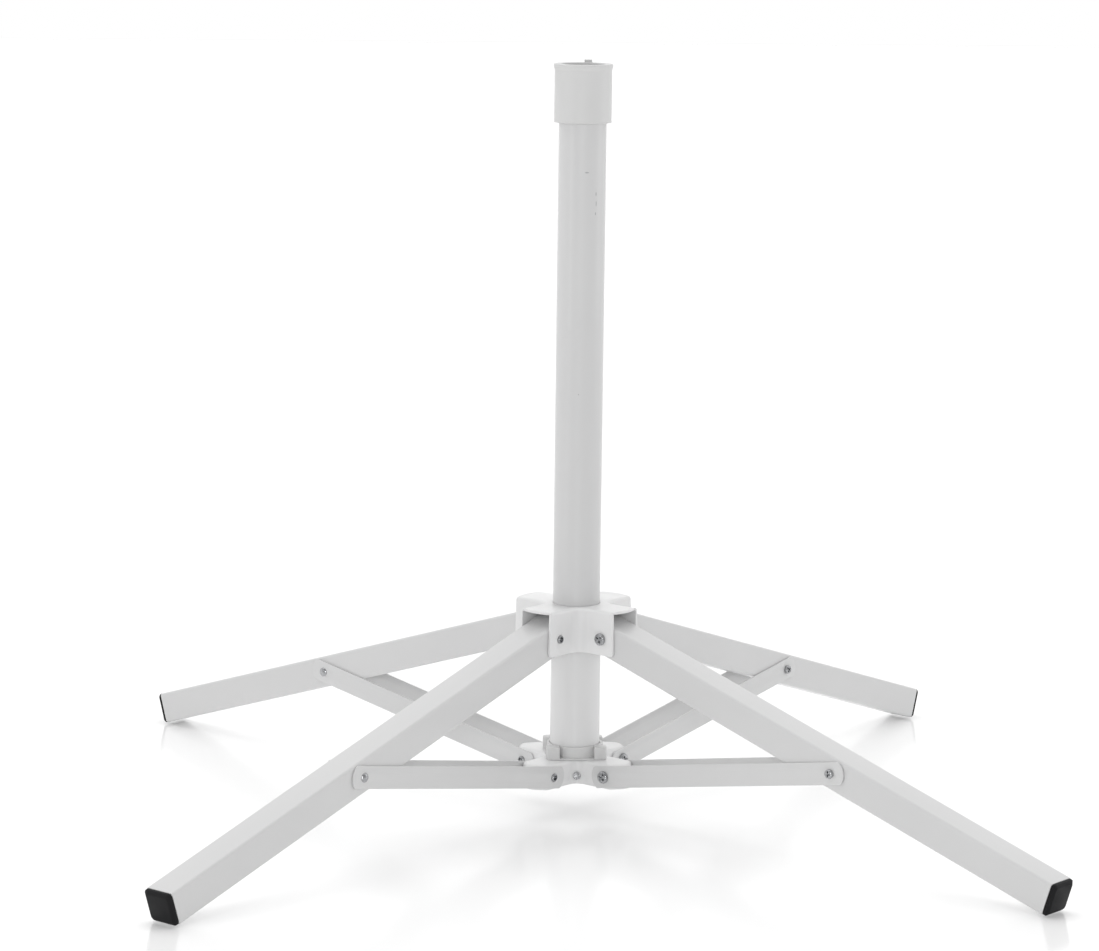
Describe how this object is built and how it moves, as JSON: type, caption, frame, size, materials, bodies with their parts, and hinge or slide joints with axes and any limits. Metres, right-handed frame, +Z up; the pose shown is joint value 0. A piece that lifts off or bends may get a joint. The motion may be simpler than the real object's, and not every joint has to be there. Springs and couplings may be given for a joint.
{
  "type": "rotary clothesline",
  "caption": "Folding four-leg stand of a rotary clothesline: square legs on a sliding hub, paired flat braces, and a round mast with an open socket for the upper mast.",
  "frame": {"origin": "centre of the stand on the ground, on the mast's axis", "axes": "+Z up along the mast; the four legs run along the diagonals between +X, +Y, -X and -Y, and the pictured front is -Y"},
  "size_m": [0.9008, 0.9008, 0.7995],
  "materials": {
    "white_paint": "gloss powder coat",
    "white_plastic": "satin moulded",
    "black_plastic": "moulded, slightly textured",
    "zinc_steel": "bright zinc plate"
  },
  "bodies": {
    "mast_base": {"mast_tube": "white_paint", "top_collar": "white_plastic", "lower_hub": "white_paint", "hub_bush": "white_plastic", "bush_rivet_1": "zinc_steel", "bush_rivet_2": "zinc_steel", "bush_rivet_3": "zinc_steel", "bush_rivet_4": "zinc_steel", "hub_screw_front_right": "zinc_steel", "hub_barrel_front_right": "zinc_steel", "hub_screw_rear_right": "zinc_steel", "hub_barrel_rear_right": "zinc_steel", "hub_screw_rear_left": "zinc_steel", "hub_barrel_rear_left": "zinc_steel", "hub_screw_front_left": "zinc_steel", "hub_barrel_front_left": "zinc_steel"},
    "hub_slider": {"upper_hub": "white_paint", "guide_sleeve": "white_paint", "leg_screw_front_right": "zinc_steel", "leg_barrel_front_right": "zinc_steel", "leg_screw_rear_right": "zinc_steel", "leg_barrel_rear_right": "zinc_steel", "leg_screw_rear_left": "zinc_steel", "leg_barrel_rear_left": "zinc_steel", "leg_screw_front_left": "zinc_steel", "leg_barrel_front_left": "zinc_steel"},
    "leg_front_right": {"leg_front_right": "white_paint", "leg_cap_front_right": "black_plastic"},
    "braces_front_right": {"brace_left_front_right": "white_paint", "brace_right_front_right": "white_paint", "brace_screw_front_right": "zinc_steel", "brace_barrel_front_right": "zinc_steel"},
    "leg_rear_right": {"leg_rear_right": "white_paint", "leg_cap_rear_right": "black_plastic"},
    "braces_rear_right": {"brace_left_rear_right": "white_paint", "brace_right_rear_right": "white_paint", "brace_screw_rear_right": "zinc_steel", "brace_barrel_rear_right": "zinc_steel"},
    "leg_rear_left": {"leg_rear_left": "white_paint", "leg_cap_rear_left": "black_plastic"},
    "braces_rear_left": {"brace_left_rear_left": "white_paint", "brace_right_rear_left": "white_paint", "brace_screw_rear_left": "zinc_steel", "brace_barrel_rear_left": "zinc_steel"},
    "leg_front_left": {"leg_front_left": "white_paint", "leg_cap_front_left": "black_plastic"},
    "braces_front_left": {"brace_left_front_left": "white_paint", "brace_right_front_left": "white_paint", "brace_screw_front_left": "zinc_steel", "brace_barrel_front_left": "zinc_steel"}
  },
  "joints": [
    {"name": "hub_slide", "type": "slide", "parent": "mast_base", "child": "hub_slider", "axis": [0, 0, 1], "range_m": [0, 0.4659]},
    {"name": "leg_fold_front_right", "type": "hinge", "parent": "hub_slider", "child": "leg_front_right", "pos_m": [0.03599, -0.03599, 0.19528], "axis": [0.7071, 0.7071, 0], "range_deg": [0, 70.5]},
    {"name": "brace_fold_front_right", "type": "hinge", "parent": "mast_base", "child": "braces_front_right", "pos_m": [0.04045, -0.04045, 0.047], "axis": [-0.7071, -0.7071, 0], "range_deg": [0, 79.01]},
    {"name": "leg_fold_rear_right", "type": "hinge", "parent": "hub_slider", "child": "leg_rear_right", "pos_m": [0.03599, 0.03599, 0.19528], "axis": [-0.7071, 0.7071, 0], "range_deg": [0, 70.5]},
    {"name": "brace_fold_rear_right", "type": "hinge", "parent": "mast_base", "child": "braces_rear_right", "pos_m": [0.04045, 0.04045, 0.047], "axis": [0.7071, -0.7071, 0], "range_deg": [0, 79.01]},
    {"name": "leg_fold_rear_left", "type": "hinge", "parent": "hub_slider", "child": "leg_rear_left", "pos_m": [-0.03599, 0.03599, 0.19528], "axis": [-0.7071, -0.7071, 0], "range_deg": [0, 70.5]},
    {"name": "brace_fold_rear_left", "type": "hinge", "parent": "mast_base", "child": "braces_rear_left", "pos_m": [-0.04045, 0.04045, 0.047], "axis": [0.7071, 0.7071, 0], "range_deg": [0, 79.01]},
    {"name": "leg_fold_front_left", "type": "hinge", "parent": "hub_slider", "child": "leg_front_left", "pos_m": [-0.03599, -0.03599, 0.19528], "axis": [0.7071, -0.7071, 0], "range_deg": [0, 70.5]},
    {"name": "brace_fold_front_left", "type": "hinge", "parent": "mast_base", "child": "braces_front_left", "pos_m": [-0.04045, -0.04045, 0.047], "axis": [-0.7071, 0.7071, 0], "range_deg": [0, 79.01]}
  ],
  "couplings": [
    {"joint": "leg_fold_front_right", "follows": "hub_slide", "rad_per_m": 2.6373},
    {"joint": "brace_fold_front_right", "follows": "hub_slide", "rad_per_m": 2.956},
    {"joint": "leg_fold_rear_right", "follows": "hub_slide", "rad_per_m": 2.6373},
    {"joint": "brace_fold_rear_right", "follows": "hub_slide", "rad_per_m": 2.956},
    {"joint": "leg_fold_rear_left", "follows": "hub_slide", "rad_per_m": 2.6373},
    {"joint": "brace_fold_rear_left", "follows": "hub_slide", "rad_per_m": 2.956},
    {"joint": "leg_fold_front_left", "follows": "hub_slide", "rad_per_m": 2.6373},
    {"joint": "brace_fold_front_left", "follows": "hub_slide", "rad_per_m": 2.956}
  ]
}
